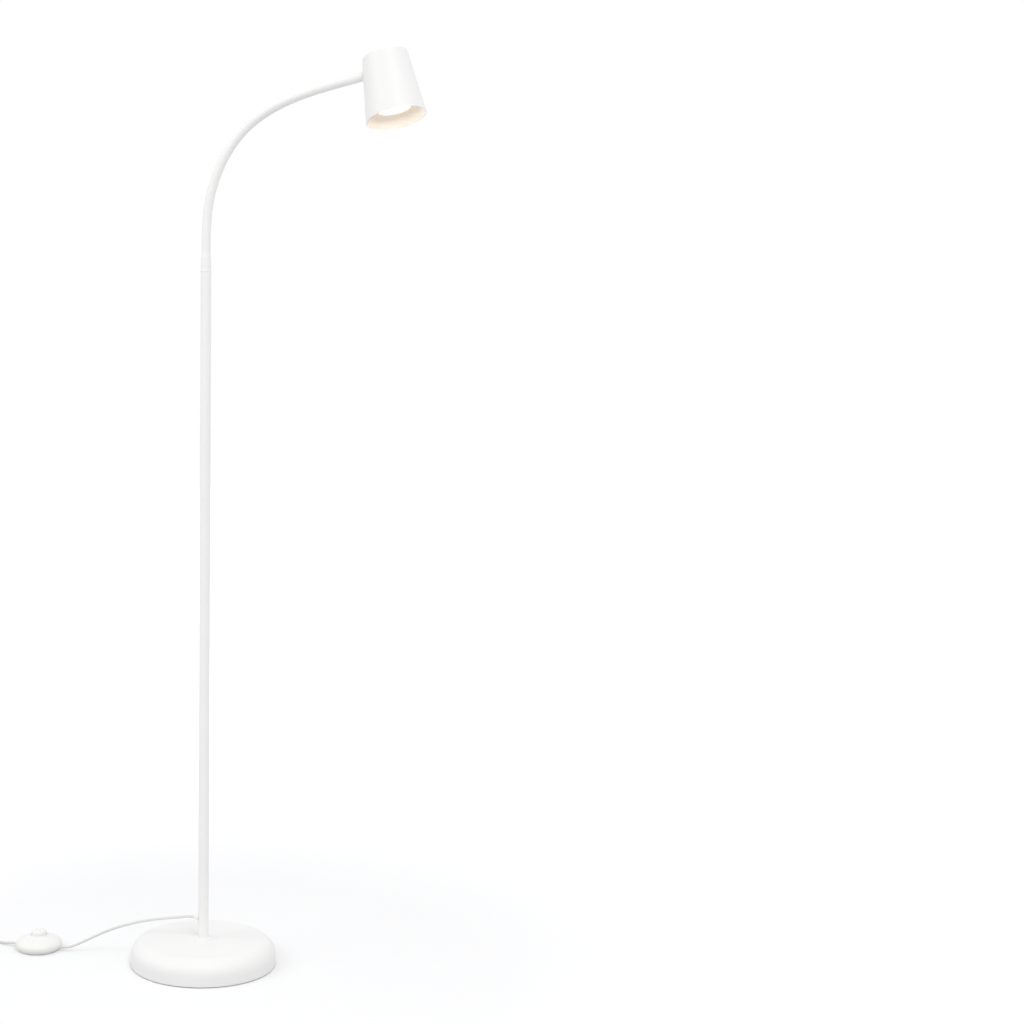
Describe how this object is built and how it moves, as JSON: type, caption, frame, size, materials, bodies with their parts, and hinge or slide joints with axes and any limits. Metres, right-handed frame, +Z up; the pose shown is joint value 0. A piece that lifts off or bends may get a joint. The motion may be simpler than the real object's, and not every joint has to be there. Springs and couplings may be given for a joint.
{
  "type": "gooseneck reading floor lamp",
  "caption": "Reading floor lamp: round weighted base, straight pole, bendable gooseneck arm, tilted cone shade with a reflector bulb, foot switch on the mains cord.",
  "frame": {"origin": "centre of the base's underside, on the floor", "axes": "+Z up along the pole, +X the way the arm reaches, in the arm's plane; the cord leaves the pole towards -X"},
  "size_m": [0.7739, 0.2374, 1.3713],
  "materials": {
    "white_paint": "satin powder coat",
    "white_ferrule": "satin powder coat",
    "iron": "as cast, oiled",
    "pad": "ribbed non-slip pad",
    "zinc": "zinc plated",
    "white_sleeve": "soft satin vinyl",
    "hose_steel": "wound steel strip",
    "white_plastic": "fine satin",
    "button_plastic": "smooth",
    "grip_nylon": "moulded",
    "cord_vinyl": "smooth vinyl",
    "tie_strap": "smooth strap",
    "foot_rubber": "soft",
    "contact_brass": "bright",
    "spring_steel": "bright wire",
    "plug_nickel": "nickel plated",
    "porcelain": "unglazed white",
    "bulb_glass": "silvered inside",
    "bulb_face": "lit, fine prismatic",
    "pin_metal": "plated"
  },
  "bodies": {
    "stand": {"base_cover": "white_paint", "base_weight": "iron", "floor_pad": "pad", "base_washer": "zinc", "base_nut": "zinc", "base_stud": "zinc", "pole_flange": "white_paint", "pole_lower": "white_paint", "pole_middle": "white_paint", "pole_upper": "white_paint", "pole_coupler_1": "zinc", "pole_coupler_2": "zinc", "cord_bushing": "white_plastic", "pole_lead": "cord_vinyl", "cord_grip": "grip_nylon", "lower_ferrule": "white_paint", "bead_ring": "white_paint", "arm_cuff": "white_sleeve", "hose_root": "hose_steel", "switch_base": "white_plastic", "switch_cover": "white_plastic", "switch_screws": "zinc", "switch_feet": "foot_rubber", "fixed_contacts": "contact_brass", "button_spring": "spring_steel", "cord_lead": "cord_vinyl", "cord_supply": "cord_vinyl", "cord_coil": "cord_vinyl", "cord_tie": "tie_strap", "plug_body": "white_plastic", "plug_pins": "plug_nickel"},
    "link_1": {"sleeve_link_1": "white_sleeve", "hose_link_1": "hose_steel"},
    "link_2": {"sleeve_link_2": "white_sleeve", "hose_link_2": "hose_steel"},
    "link_3": {"sleeve_link_3": "white_sleeve", "hose_link_3": "hose_steel"},
    "link_4": {"sleeve_link_4": "white_sleeve", "hose_link_4": "hose_steel"},
    "link_5": {"sleeve_link_5": "white_sleeve", "hose_link_5": "hose_steel"},
    "link_6": {"sleeve_link_6": "white_sleeve", "hose_link_6": "hose_steel"},
    "link_7": {"sleeve_link_7": "white_sleeve", "hose_link_7": "hose_steel"},
    "link_8": {"sleeve_link_8": "white_sleeve", "hose_link_8": "hose_steel"},
    "head": {"shade": "white_paint", "sleeve_end": "white_sleeve", "upper_ferrule": "white_ferrule", "arm_nut": "zinc", "saddle_washer": "zinc", "holder_bracket": "zinc", "lamp_holder": "porcelain", "holder_screws": "zinc"},
    "bulb": {"bulb_body": "bulb_glass", "bulb_lens": "bulb_face", "bulb_pins": "pin_metal"},
    "button": {"switch_button": "button_plastic", "contact_bridge": "contact_brass"}
  },
  "joints": [
    {"name": "arm_bend_1", "type": "hinge", "parent": "stand", "child": "link_1", "pos_m": [0, 0, 1.0931], "axis": [0, 1, 0], "range_deg": [-30, 24]},
    {"name": "arm_bend_2", "type": "hinge", "parent": "link_1", "child": "link_2", "pos_m": [0.00136, 0, 1.13757], "axis": [0.9981, 0, -0.061], "range_deg": [-26, 26]},
    {"name": "arm_bend_3", "type": "hinge", "parent": "link_2", "child": "link_3", "pos_m": [0.00869, 0, 1.18138], "axis": [0, 1, 0], "range_deg": [-30, 24]},
    {"name": "arm_bend_4", "type": "hinge", "parent": "link_3", "child": "link_4", "pos_m": [0.02497, 0, 1.22271], "axis": [0.887, 0, -0.4617], "range_deg": [-26, 26]},
    {"name": "arm_bend_5", "type": "hinge", "parent": "link_4", "child": "link_5", "pos_m": [0.05042, 0, 1.25906], "axis": [0, 1, 0], "range_deg": [-30, 24]},
    {"name": "arm_bend_6", "type": "hinge", "parent": "link_5", "child": "link_6", "pos_m": [0.08476, 0, 1.28712], "axis": [0.515, 0, -0.8572], "range_deg": [-26, 26]},
    {"name": "arm_bend_7", "type": "hinge", "parent": "link_6", "child": "link_7", "pos_m": [0.12479, 0, 1.30642], "axis": [0, 1, 0], "range_deg": [-30, 24]},
    {"name": "arm_bend_8", "type": "hinge", "parent": "link_7", "child": "link_8", "pos_m": [0.16726, 0, 1.31961], "axis": [0.2419, 0, -0.9703], "range_deg": [-26, 26]},
    {"name": "arm_bend_9", "type": "hinge", "parent": "link_8", "child": "head", "pos_m": [0.21062, 0, 1.32962], "axis": [0, 1, 0], "range_deg": [-30, 24]},
    {"name": "bulb_twist", "type": "hinge", "parent": "head", "child": "bulb", "pos_m": [0.2853, -0.00623, 1.27266], "axis": [0.2071, -0.0872, -0.9744], "range_deg": [0, 22]},
    {"name": "button_press", "type": "slide", "parent": "stand", "child": "button", "axis": [0, 0, -1], "range_m": [0, 0.004], "stiffness_N_per_m": 600, "springref_m": -0.004, "deforming": ["button_spring"]}
  ]
}
